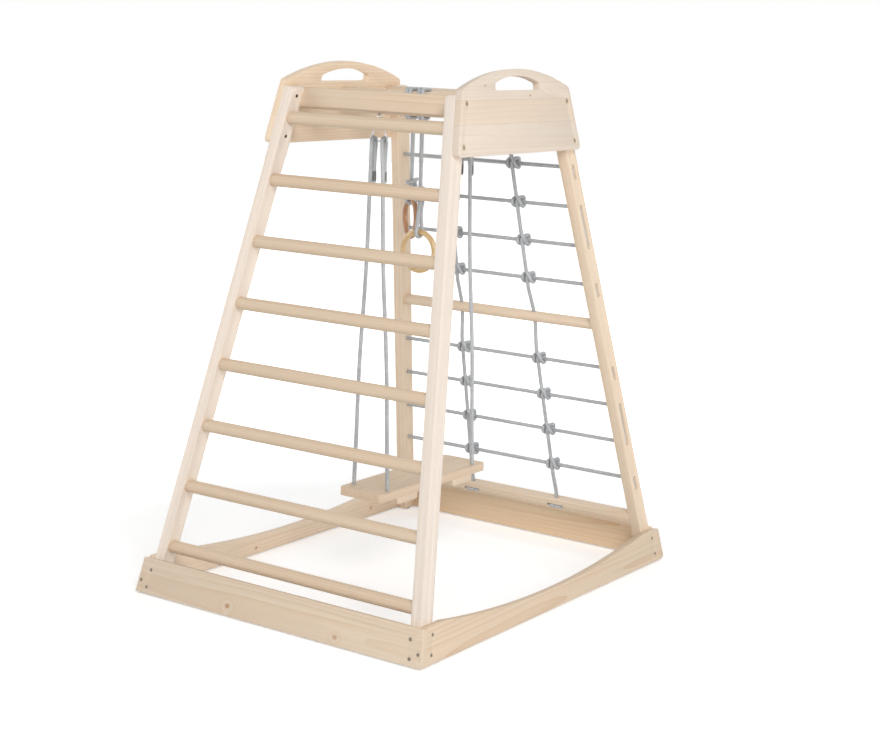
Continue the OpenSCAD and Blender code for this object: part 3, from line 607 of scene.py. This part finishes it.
# A clove hitch seen from inside the tower: the rope comes down in front, goes right and
# round, comes over the left shoulder and round again, crosses itself behind and leaves
# down the middle. (along the level rope, turn about it from the front, distance), in mm
HITCH = [
    (11, 8, 12.2), (12, 38, 10.5), (12.6, 72, 10.3), (12.2, 110, 10.3), (9.6, 150, 10.3), (4, 180, 10.3),
    (-2, 210, 10.3), (-7.6, 240, 10.3), (-11, 275, 10.3), (-12.8, 315, 10.3), (-13.4, 360, 10.3),
    (-12.8, 405, 10.3), (-11, 450, 10.3), (-8.6, 485, 12.2), (-4, 515, 17.2), (0.5, 540, 19.9),
    (3.0, 572, 19.2), (3.4, 602, 14.2), (2.2, 632, 10.8), (0.6, 668, 10.4), (0, 702, 10.4), (0, 730, 10.8),
]

# The rope above and below it: (across, ahead, up) from the upright rope's line, in mm
HITCH_IN = [(0, -10.6, 30), (1.5, -11.6, 18), (6.8, -12.8, 8.5)]
HITCH_OUT = [(0, -10.6, -14), (0, -10.6, -28)]
PAST_BAR = [(0, 0, 20), (0, 0, 0), (0, 0, -20)]


def strand_x(z):
    return STRAND_LOW + (STRAND_TOP - STRAND_LOW) * (z - SILL_Z) / (NET_TOP - SILL_Z)


def by_strand(side, z, offsets):
    """Points beside the upright rope's line, each at its offset's height over z."""
    points = []
    for offset in offsets:
        across, ahead, rise = [step * MM for step in offset]
        points.append(Vector((side * strand_x(z + rise) + across, mid_y(z + rise) + ahead, z + rise)))
    return points


def hitch(side, z):
    centre = by_strand(side, z, [(0, 0, 0)])[0]
    points = []
    for along, turn, away in HITCH:
        angle = radians(turn)
        points.append(centre + Vector((along, -away * cos(angle), -away * sin(angle))) * MM)
    return by_strand(side, z, HITCH_IN) + points + by_strand(side, z, HITCH_OUT)


# The lower rail's middle line, the rope's way into its hole and the flat knot that fills
# its pocket: (along, up the slope, outwards) from the hole, in mm
SILL_H = 28 * MM
SILL_DEPTH = POST_D - SILL_H / 2 + 0.5 * MM
SILL_S = (SILL_Z - GLIDE_H + POST_D * sin(LEAN_Y)) / cos(LEAN_Y) - SILL_H / 2
SILL_HOLE = [(0, 34, 0), (0, 24, 0), (0, 8, 0)]
SILL_KNOT = [
    (0, 1, 0), (0.5, -4, 1.5), (6, -8.8, 4.6), (14, -9.2, 4.6), (19, -9.2, 1.6), (19, -9.2, -5.2),
    (14, -9.2, -8.4), (0, -9.2, -8.6), (-14, -9.2, -8.4), (-19, -9.2, -5.2), (-19, -9.2, 1.6),
    (-14.5, -9.2, 4.6), (-9.6, -9.2, 4.9),
]


def sill_point(x, up, out):
    s, deep = SILL_S + up, SILL_DEPTH - out
    return Vector((
        x,
        POST_Y0 - s * sin(LEAN_Y) - deep * cos(LEAN_Y),
        GLIDE_H + s * cos(LEAN_Y) - deep * sin(LEAN_Y),
    ))


for name, side in SIDES:
    route = [point for z in ROWS_OVER for point in hitch(side, z)]
    route += by_strand(side, BAR_Z, PAST_BAR)
    route += [point for z in ROWS_UNDER for point in hitch(side, z)]
    for x, up, out in SILL_HOLE + SILL_KNOT:
        route.append(sill_point(side * (STRAND_LOW + x * MM), up * MM, out * MM))
    bm = bmesh.new()
    rope_run(bm, smooth_path(route))
    piece(bm, f"net_strand_{name}_braid", rope_grey, "tower", "rope", f"net_strand_{name}")

# Swing: each hanger's two ropes run from a knot under the seat over the link's bar and
# down again beside themselves
SWING_Y = 181.683 * MM
LINK_BAR_Z = 1098.44 * MM
LINK_TIP_Z = 1156.4 * MM
LINK_HALF = 26.75 * MM
WIRE_R = 2 * MM
HANG_X = 14.88 * MM
HANG_R = WIRE_R + FIT + ROPE_R
SEAT_Z = 263 * MM
SEAT_LOW = 243 * MM
SEAT_HOLE_X = 51 * MM
SEAT_HOLE_Y = 181.7 * MM
LEG_STEPS, LOOP_STEPS = 40, 12
LEG_BOW = 3.0 * MM
TAIL_SPLAY = 0.006

# In mm: the knot as (height over the seat's underside, radius), the tail as (below the
# bar, away from it), the sleeve as (along from the rope's tip, radius)
SEAT_KNOT = [(0.4, 5.5), (1.2, 8.0), (3.0, 9.9), (4.9, 9.0), (6.8, 9.9), (8.8, 8.4), (9.8, 5.6), (11.0, 5.0)]
LEG_TAIL = [(0, 7.3), (8, 7.0), (18, 5.8), (30, 4.6), (45, 4.2), (65, 4.3), (85, 4.6), (98, 4.9)]
SLEEVE = [(-27, 5.1), (-26.5, 5.6), (-4.4, 5.6), (-4, 5.1)]


def leg(bm, side, end):
    """One rope; its tail lies close to it under the link's bar."""
    hole = Vector((side * SEAT_HOLE_X, end * SEAT_HOLE_Y, 0))
    link = Vector((side * HANG_X, end * SWING_Y, LINK_BAR_Z))
    path = [hole + Vector((0, 0, SEAT_LOW + height * MM)) for height, _ in SEAT_KNOT]
    radii = [r * MM for _, r in SEAT_KNOT]
    foot = hole + Vector((0, 0, SEAT_Z + ROPE_R))
    top = link + Vector((0, -HANG_R, 0))
    # The long run bows out by a few millimetres, as a rope that isn't quite taut
    for k in range(LEG_STEPS + 1):
        t = k / LEG_STEPS
        bow = side * LEG_BOW * sin(pi * t) ** 2 * sin(2 * pi * t)
        path.append(foot.lerp(top, t) + Vector((bow, 0.4 * bow, 0)))
    for k in range(1, LOOP_STEPS):
        angle = pi * k / LOOP_STEPS
        path.append(link + Vector((0, -HANG_R * cos(angle), HANG_R * sin(angle))))
    path += [link + Vector((side * TAIL_SPLAY * drop, away, -drop)) * MM for drop, away in LEG_TAIL]
    radii += [ROPE_R] * (len(path) - len(radii))
    rope_run(bm, path, radii)
    return path[-2], path[-1]


for name, end in ENDS:
    bm = bmesh.new()
    tails = [leg(bm, side, end) for side in (-1, 1)]
    piece(bm, f"swing_ropes_{name}_braid", rope_grey, "swing", "rope", f"swing_ropes_{name}")
    bm = bmesh.new()
    for before, tip in tails:
        heading = (tip - before).normalized()
        run = [tip + heading * k * MM for k, _ in SLEEVE]
        rope_run(bm, run, [r * MM for _, r in SLEEVE], sides=20, ends=False)
    piece(bm, f"swing_tail_sleeves_{name}", sleeve_grey, "swing", "rope")

# Rings: each rope is wound on the beam, hangs down in front of it or behind, is knotted to
# itself and holds its ring in the loop below
WRAP_Y = BEAM_T / 2 + FIT + ROPE_R
CORNER_R = 4 * MM
WRAP_R = CORNER_R + FIT + ROPE_R
WRAP_START = 1.2 * MM
WRAP_PITCH = 10.8 * MM
STUB_Z = BEAM_LOW - 2 * ROPE_R
HANG_Z = STUB_Z - FIT - ROPE_R
RING_R = 47 * MM
RING_TUBE = 7 * MM
RING_STEPS = 96
LOOP_R = RING_TUBE + FIT + ROPE_R
NECK_IN, NECK_OUT = -5.2 * MM, 5.4 * MM
COIL_R = 10.35 * MM
COIL_PITCH = 10.4 * MM
COIL_STEPS = 10


def raised(z):
    return Vector((0, 0, z))


def wrap_route():
    """Once round the beam and over it again, given from the end at its back to the front's top edge."""
    beam_top = BEAM_LOW + BEAM_H
    points = []
    for a in range(6):
        y = (-1 if a % 4 in (0, 3) else 1) * (BEAM_T / 2 - CORNER_R)
        z = beam_top - CORNER_R if a % 4 < 2 else BEAM_LOW + CORNER_R
        for k in range(6):
            angle = radians(180 - 90 * a - 18 * k)
            x = WRAP_START + WRAP_PITCH * (6 * a + k) / 24
            points.append(Vector((x, y + WRAP_R * cos(angle), z + WRAP_R * sin(angle))))
    tail = points[-1].x
    points += [Vector((tail, WRAP_Y, beam_top - k * MM)) for k in (12, 24)]
    return points[::-1]


def ring_rope_route(ring_z, knot_z, normal, coils):
    """From the beam down to the loop round the ring, and up again into the knot."""
    top = ring_z + RING_R
    heights = [STUB_Z + 10 * MM, STUB_Z, HANG_Z, HANG_Z - 16 * MM, HANG_Z - 60 * MM]
    heights += [knot_z + k * MM for k in (34, 14, 0, -14)]
    # Both ropes come close together above the ring where the knot leaves room for it
    neck = raised(min(knot_z - 18 * MM, top + 40 * MM))
    roomy = neck.z < knot_z - 20 * MM
    loop = [normal * NECK_IN + neck] if roomy else []
    for k in range(11):
        angle = radians(162 + 21.6 * k)
        loop.append(normal * LOOP_R * cos(angle) + raised(top + LOOP_R * sin(angle)))
    loop += [normal * NECK_OUT + neck] if roomy else []
    # The end winds up round the standing rope and sticks out
    across = Vector((0, 0, 1)).cross(normal)
    coil = []
    for k in range(COIL_STEPS * coils + 1):
        angle = 2 * pi * k / COIL_STEPS
        around = normal * cos(angle) + across * sin(angle)
        coil.append(around * COIL_R + raised(knot_z + COIL_PITCH * k / COIL_STEPS - 5 * coils * MM))
    end, last = coil[-1], coil[-1] - coil[-2]
    tail = [end + last * 1.2, end + last * 2.2 + (end - raised(end.z)) * 0.35]
    return [raised(z) for z in heights] + loop + coil + tail


def ring_rope(name, x, y, flip, normal, ring_z, knot_z, coils):
    """One braid from its end on the beam to the ring's loop."""
    flip = Matrix.Diagonal(flip)
    wound = [flip @ p + Vector((x, 0, 0)) for p in wrap_route()]
    route = [p + Vector((x, y, 0)) for p in ring_rope_route(ring_z, knot_z, normal, coils)]
    bm = bmesh.new()
    rope_run(bm, smooth_path(wound) + smooth_path(route))
    made = piece(
        bm, f"ring_rope_{name}_braid", rope_grey, None, "rope",
        f"ring_wrap_{name}", f"ring_rope_{name}",
    )
    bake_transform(made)


# Where each ring hangs along the beam and on which side of it, how its winding is mirrored,
# how far it is turned, its height, its knot's height and coils
RINGS = {
    "front": (6 * MM, -WRAP_Y, (-1, 1, 1), 0, 827 * MM, 963 * MM, 3),
    "back": (-48 * MM, WRAP_Y, (1, -1, 1), -37, 902 * MM, 988 * MM, 1),
}
LACQUER = {
    "front": lacquered_wood("honey_lacquer", srgb(230, 200, 150), srgb(206, 168, 110)),
    # The back ring has the front ring's lacquer in darker colours: painted shade
    "back": lacquered_wood("honey_lacquer_painted_shade", srgb(196, 146, 102), srgb(160, 108, 66)),
}
for name, (x, y, flip, turn, ring_z, knot_z, coils) in RINGS.items():
    turn = Matrix.Rotation(radians(turn), 3, "Z")
    ring_rope(name, x, y, flip, turn @ Vector((0, 1, 0)), ring_z, knot_z, coils)
    circle = []
    for k in range(RING_STEPS):
        angle = 2 * pi * k / RING_STEPS
        circle.append(turn @ Vector((RING_R * cos(angle), 0, RING_R * sin(angle))) + Vector((x, y, ring_z)))
    bm = bmesh.new()
    rope_run(bm, circle, RING_TUBE, sides=28, closed=True)
    piece(bm, f"ring_{name}_turned", LACQUER[name], f"ring_{name}", "honey_wood", f"ring_{name}", sharp=180)

# Metal

zinc = metal("bright_zinc", srgb(205, 208, 212), 0.26)
screw_zinc = metal("screw_zinc", srgb(158, 148, 134), 0.42)
bolt_zinc = metal("yellowish_zinc", srgb(188, 172, 148), 0.45)


def rounded_loop(corners, bends):
    """A closed line round the corners, each rounded with its bend's radius."""
    path = []
    for before, corner, after, r in zip(corners[-1:] + corners, corners, corners[1:] + corners[:1], bends):
        to, away = (before - corner).normalized(), (after - corner).normalized()
        half = to.angle(away) / 2
        centre = corner + (to + away).normalized() * r / sin(half)
        start = (corner + to * r / tan(half) - centre).normalized()
        finish = (corner + away * r / tan(half) - centre).normalized()
        path += [centre + start.slerp(finish, k / 10) * r for k in range(11)]
        path += [corner + (after - corner) * t for t in (0.3, 0.5, 0.7)]
    return path


# A triangular link: its wire bends round three corners and its ends meet in the bar
LINK = [Vector(p) for p in ((0, 0, LINK_TIP_Z), (-LINK_HALF, 0, LINK_BAR_Z), (LINK_HALF, 0, LINK_BAR_Z))]
LINK_BENDS = (4.3 * MM, 4 * MM, 4 * MM)
for name, end in ENDS:
    bm = joined_copy(f"swing_eye_{name}")
    piece(bm, f"swing_eye_{name}_plated", zinc, "tower", "zinc", f"swing_eye_{name}", normals=False, sharp=50)
    wire = [p + Vector((0, end * SWING_Y, 0)) for p in rounded_loop(LINK, LINK_BENDS)]
    bm = bmesh.new()
    rope_run(bm, wire, WIRE_R, sides=16, closed=True)
    piece(bm, f"swing_link_{name}_wire", zinc, "swing", "zinc", f"swing_link_{name}", sharp=180)

# Fastenings, in mm: lengths, and the recess's radius and the cross's half arm
BASE_SCREW, END_SCREW, BATTEN_SCREW, PANEL_BOLT = 40, 28, 27.9, 39
SCREW_RECESS, SCREW_ARM, BOLT_RECESS = 2.3, 0.55, 2.9


def cross_recess(angle):
    """Outline of a cross as a share of its radius, by direction."""
    off = min(angle % (pi / 2), pi / 2 - angle % (pi / 2))
    return min(1.0, SCREW_ARM / (SCREW_RECESS * max(sin(off), 0.001)))


def hex_recess(angle):
    """Outline of a hexagon as a share of its radius, by direction."""
    return cos(pi / 6) / cos(angle % (pi / 3) - pi / 6)


def countersunk(bm, place, length):
    """A screw whose head lies flush at the place, with a cross in it."""
    turned(bm, [
        (0, -1.6), (SCREW_RECESS, -1.6), (SCREW_RECESS, -0.1), (4.1, -0.1), (4.4, -0.4),
        (2.5, -2.9), (2.5, 3 - length), (0, -length),
    ], place, 48, (SCREW_RECESS, cross_recess))


def socket_bolt(bm, place, length):
    """A bolt with a flat head and a six-sided socket."""
    turned(bm, [
        (0, -2.1), (BOLT_RECESS, -2.1), (BOLT_RECESS, -0.1), (5.7, -0.1), (6.4, -0.7),
        (6.4, -2.95), (3, -2.95), (3, 0.6 - length), (2.4, -length), (0, -length),
    ], place, 48, (BOLT_RECESS, hex_recess))


def up_slope(lean, s):
    return GLIDE_H + s * cos(lean)


# Base screws: at which shares of the boards' height they go into the posts; one more at
# each end of the front board goes into the side board
SCREW_SHARES = {"front": (0.14, 0.66), "back": (0.14, 0.66), "right": (0.22, 0.75), "left": (0.22, 0.75)}
END_SCREW_SHARE = 0.31
screws = []
for side, shares in SCREW_SHARES.items():
    lean, middle = (LEAN_Y, mid_x) if side in ("front", "back") else (LEAN_X, mid_y)
    for s in [share * BOARD_H for share in shares]:
        screws += [(side, x * middle(up_slope(lean, s)), s, BASE_SCREW) for x in (-1, 1)]
s = END_SCREW_SHARE * BOARD_H
board_end = face_x(up_slope(LEAN_Y, s)) + BOARD_T / 2 / cos(LEAN_X)
screws += [("front", x * board_end, s, END_SCREW) for x in (-1, 1)]
bm = bmesh.new()
for i, (side, x, s, length) in enumerate(screws):
    place = slope(side) @ Matrix.Translation((x, s, BOARD_T)) @ Matrix.Rotation(0.7 * i, 4, "Z")
    countersunk(bm, place, length)
piece(bm, "base_screws_plated", screw_zinc, "tower", "zinc", "base_screws")

BATTEN_L = 130 * MM
BATTEN_Y = 118 * MM
BATTEN_H = 16 * MM
bm = bmesh.new()
for y in (-1, 1):
    for x in (-0.25, 0.25):
        place = Matrix.Translation((x * BATTEN_L, y * BATTEN_Y, SEAT_LOW - BATTEN_H))
        turn = Matrix.Rotation(pi, 4, "X") @ Matrix.Rotation(x + y, 4, "Z")
        countersunk(bm, place @ turn, BATTEN_SCREW)
piece(bm, "batten_screws_plated", screw_zinc, "swing", "zinc", "batten_screws")

BOLT_HEIGHTS = (1100.5 * MM, 1196 * MM)
bm = bmesh.new()
for side in ("right", "left"):
    for z in BOLT_HEIGHTS:
        for y in (-1, 1):
            spot = Matrix.Translation((y * mid_y(z), (z - GLIDE_H) / cos(LEAN_X), PANEL_T))
            socket_bolt(bm, slope(side) @ spot @ Matrix.Rotation(z * 900 + y, 4, "Z"), PANEL_BOLT)
piece(bm, "panel_bolts_plated", bolt_zinc, "tower", "zinc", "panel_bolts")

bm = joined_copy("panel_nuts")
piece(bm, "panel_nuts_plated", screw_zinc, "tower", "zinc", "panel_nuts", normals=False)

GLIDE = [(0, 0), (10.2, 0), (11, 0.8), (11, 3.4), (10.6, 4), (0, 4)]
bm = bmesh.new()
for x in (-1, 1):
    for y in (-1, 1):
        turned(bm, GLIDE, Matrix.Translation((x * mid_x(GLIDE_H), y * mid_y(GLIDE_H), 0)), 40)
piece(bm, "glides_moulded", plastic("glide_grey", srgb(70, 70, 72), 0.6), "tower", "glide", "glides")

# Camera: the photograph's viewpoint, as fitted to the tower's straight edges

PHOTO_W = 880
FOCAL_PX = 1796.76
SENSOR_W = 36
YAW, PITCH, ROLL = 0.606983, -0.191242, 0.031715
VIEWPOINT = (2.54153, -3.56148, 1.36324)

forward = Vector((-sin(YAW) * cos(PITCH), cos(YAW) * cos(PITCH), sin(PITCH)))
level = Vector((cos(YAW), sin(YAW), 0))
upright = level.cross(forward)
right = cos(ROLL) * level + sin(ROLL) * upright
above = -sin(ROLL) * level + cos(ROLL) * upright
lens = bpy.data.cameras.new("photo_view")
lens.sensor_fit = "HORIZONTAL"
lens.sensor_width = SENSOR_W
lens.lens = FOCAL_PX / PHOTO_W * SENSOR_W
lens.clip_end = 100
camera = bpy.data.objects.new("photo_view", lens)
bpy.context.scene.collection.objects.link(camera)
turn = Matrix((right, above, -forward)).transposed().to_4x4()
camera.matrix_world = Matrix.Translation(VIEWPOINT) @ turn
bpy.context.scene.camera = camera

# Studio: a white floor that fades into a white surround, and soft lamps

SURROUND_LIGHT = 0.38
FLOOR_R = 14
FLOOR_WHITE = (0.86, 0.86, 0.86, 1)


def seen_white(tree):
    """One for the rays of the camera and of mirror-like and clear surfaces, zero for others."""
    seen = 0.0
    for ray in ("Is Camera Ray", "Is Glossy Ray", "Is Transmission Ray"):
        path = add_node(tree, "LightPath", output=ray)
        seen = add_node(tree, "Math", {0: path, 1: seen}, operation="MAXIMUM")
    return seen


world = bpy.data.worlds.new("white_studio")
bpy.context.scene.world = world
world.use_nodes = True
tree = world.node_tree
surround = tree.nodes["Background"]
surround.inputs["Color"].default_value = (1, 1, 1, 1)
strength = {"Value": seen_white(tree), "To Min": SURROUND_LIGHT, "To Max": 1.0}
put(tree, surround.inputs["Strength"], add_node(tree, "MapRange", strength))

# The floor shines by itself to the camera, more so the farther from the tower
floor_finish = bpy.data.materials.new("white_floor")
floor_finish.use_nodes = True
tree = floor_finish.node_tree
tree.nodes.remove(tree.nodes["Principled BSDF"])
place = add_node(tree, "TexCoord", output="Object")
far = add_node(tree, "VectorMath", {0: place}, "Value", operation="LENGTH")
fading = {"Value": far, "From Min": 0.9, "From Max": 2.2, "To Min": 0.36, "To Max": 1.0}
fade = add_node(tree, "MapRange", fading)
shown = add_node(tree, "Math", {0: fade, 1: seen_white(tree)}, operation="MULTIPLY")
matt = add_node(tree, "BsdfDiffuse", {"Color": FLOOR_WHITE})
glow = add_node(tree, "Emission", {"Strength": shown})
both = add_node(tree, "AddShader", {0: matt, 1: glow})
put(tree, tree.nodes["Material Output"].inputs["Surface"], both)

bm = bmesh.new()
bmesh.ops.create_circle(bm, cap_ends=True, segments=96, radius=FLOOR_R)
mesh = bpy.data.meshes.new("studio_floor")
bm.to_mesh(mesh)
bm.free()
mesh.materials.append(floor_finish)
floor_piece = bpy.data.objects.new("studio_floor", mesh)
bpy.context.scene.collection.objects.link(floor_piece)


def lamp(name, place, target, size, watts):
    light = bpy.data.lights.new(name, "AREA")
    light.shape = "DISK"
    light.size = size
    light.energy = watts
    made = bpy.data.objects.new(name, light)
    bpy.context.scene.collection.objects.link(made)
    aim = (Vector(target) - Vector(place)).to_track_quat("-Z", "Y")
    made.matrix_world = Matrix.Translation(place) @ aim.to_matrix().to_4x4()


lamp("key_right", (3.5, -3.0, 3.6), (0, 0, 0.7), 2.2, 106)
lamp("front_soft", (2.6, -4.2, 1.5), (0, 0, 0.6), 1.6, 44)
lamp("fill_left", (-3.6, -2.6, 2.4), (0, 0, 0.6), 2.6, 40)
lamp("side_right", (4.0, 0.4, 1.3), (0, 0, 0.6), 1.8, 34)
lamp("rim_back", (-1.5, 4.2, 3.2), (0, 0, 0.6), 2.4, 40)

bpy.context.scene.view_settings.view_transform = "Standard"
